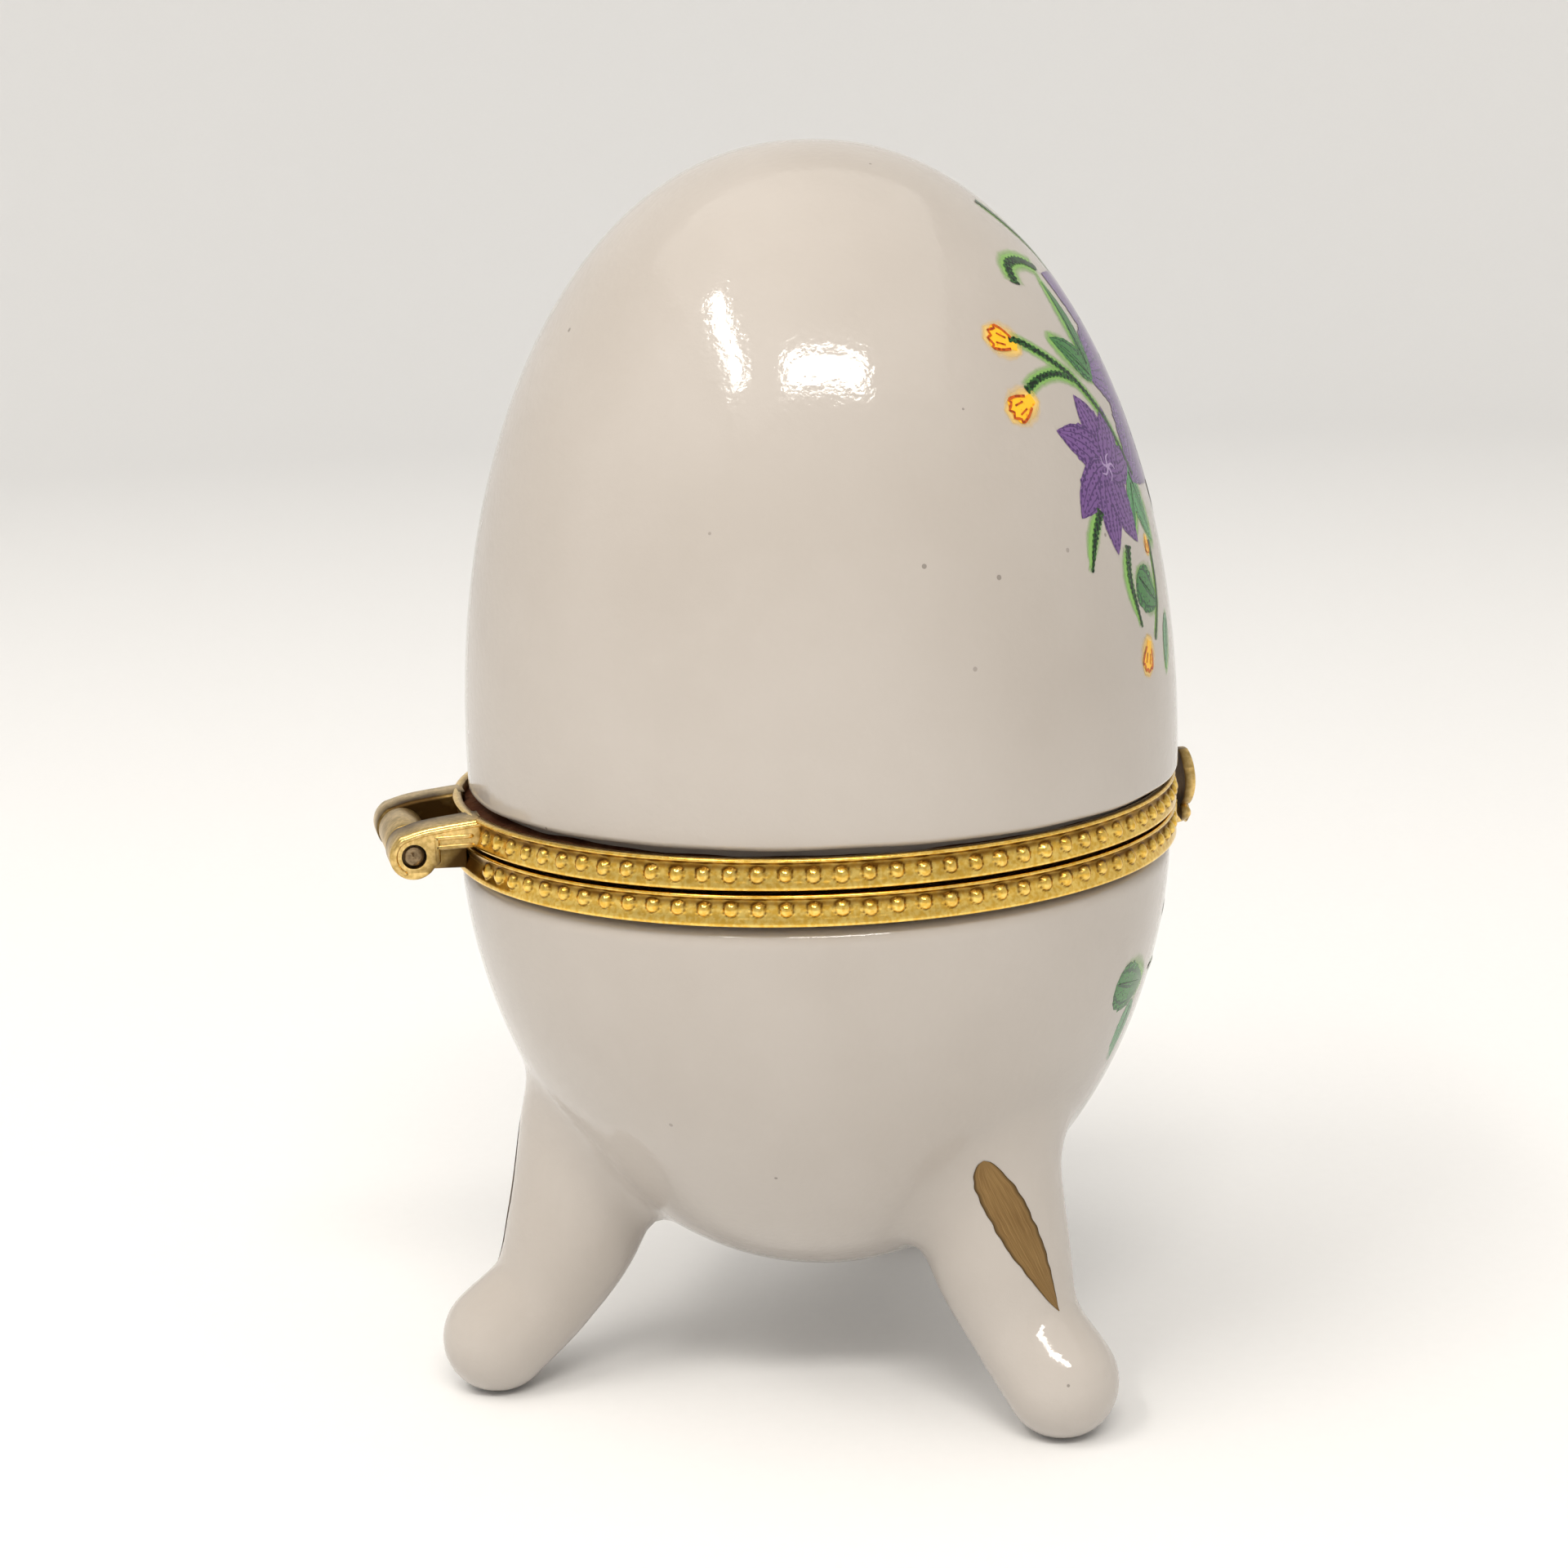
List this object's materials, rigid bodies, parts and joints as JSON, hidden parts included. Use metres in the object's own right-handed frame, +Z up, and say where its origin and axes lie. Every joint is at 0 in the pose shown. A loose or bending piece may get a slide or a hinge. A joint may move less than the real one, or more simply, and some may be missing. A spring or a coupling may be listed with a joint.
{
  "type": "hinged trinket box",
  "caption": "Egg-shaped porcelain trinket box on three legs, with a hinged lid, beaded brass bezels and a snap clasp.",
  "frame": {"origin": "centre of the bounding box in X and Y, on the floor plane that the three feet stand on", "axes": "+Z up; +Y towards the hinge, -Y towards the clasp; the hinge pin runs along X"},
  "size_m": [0.0602, 0.0686, 0.1013],
  "materials": {
    "porcelain": "glossy glaze",
    "brass": "polished, with darker hollows",
    "dark_brass": "tarnished",
    "cement": "dull"
  },
  "bodies": {
    "base": {"base_shell": "porcelain", "base_cement": "cement", "base_bezel": "brass", "clasp_rivet": "brass"},
    "lid": {"lid_shell": "porcelain", "lid_cement": "cement", "lid_bezel": "brass", "catch_stud": "brass", "hinge_pin": "dark_brass"},
    "clasp": {"clasp_plate": "brass"}
  },
  "joints": [
    {"name": "lid_hinge", "type": "hinge", "parent": "base", "child": "lid", "pos_m": [0, 0.03238, 0.0478], "axis": [-1, 0, 0], "range_deg": [0, 95]},
    {"name": "clasp_flex", "type": "hinge", "parent": "base", "child": "clasp", "pos_m": [0, -0.03343, 0.0452], "axis": [1, 0, 0], "range_deg": [0, 6], "stiffness_Nm_per_rad": 0.15}
  ]
}
